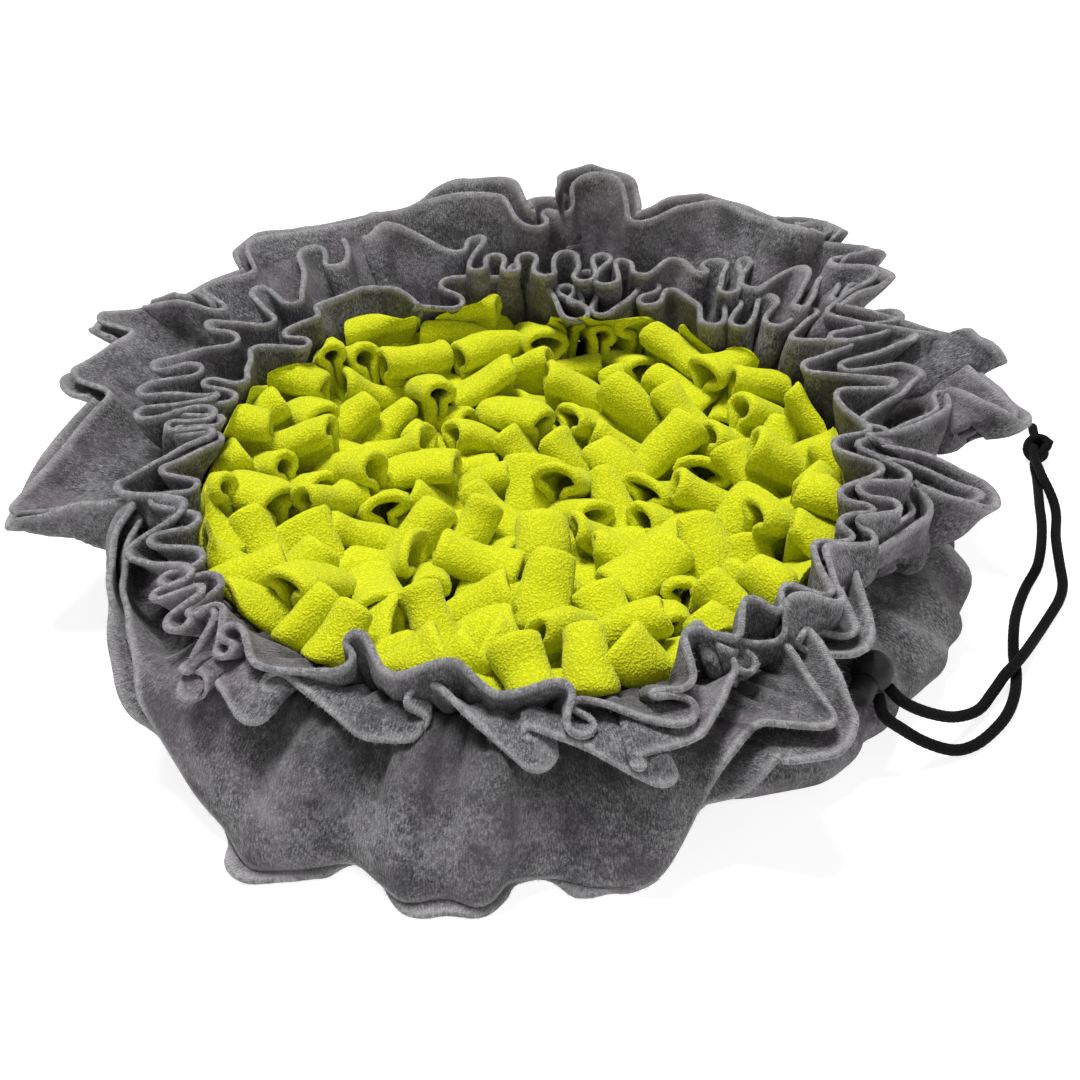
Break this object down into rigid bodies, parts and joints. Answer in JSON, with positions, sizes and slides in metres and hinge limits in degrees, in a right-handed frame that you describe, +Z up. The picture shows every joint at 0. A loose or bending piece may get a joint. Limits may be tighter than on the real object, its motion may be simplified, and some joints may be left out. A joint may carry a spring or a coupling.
{
  "type": "snuffle mat",
  "caption": "Round fleece snuffle mat drawn in by a cord, with a field of strip loops inside gathered frills and a wide ruffled rim.",
  "frame": {"origin": "on the floor under the middle of the field of loops, on the mat's flat bottom", "axes": "+Z up out of the mat, -Y towards the side with the fallen rim, +X towards the cord"},
  "size_m": [0.5483, 0.4554, 0.1345],
  "materials": {
    "grey_fleece": "heather grey anti-pill fleece, matt and nubby",
    "lime_fleece": "lime green anti-pill fleece, matt and nubby",
    "black_cord": "black braided cord",
    "black_plastic": "moulded black plastic"
  },
  "bodies": {
    "root": {"base_shell": "grey_fleece", "loop_field": "lime_fleece", "frill_inner": "grey_fleece", "frill_middle": "grey_fleece", "flounce_upper": "grey_fleece", "flounce_under": "grey_fleece", "lock_body": "black_plastic", "lock_button": "black_plastic", "cord_back": "black_cord", "cord_front": "black_cord", "cord_knot": "black_cord"}
  },
  "joints": []
}
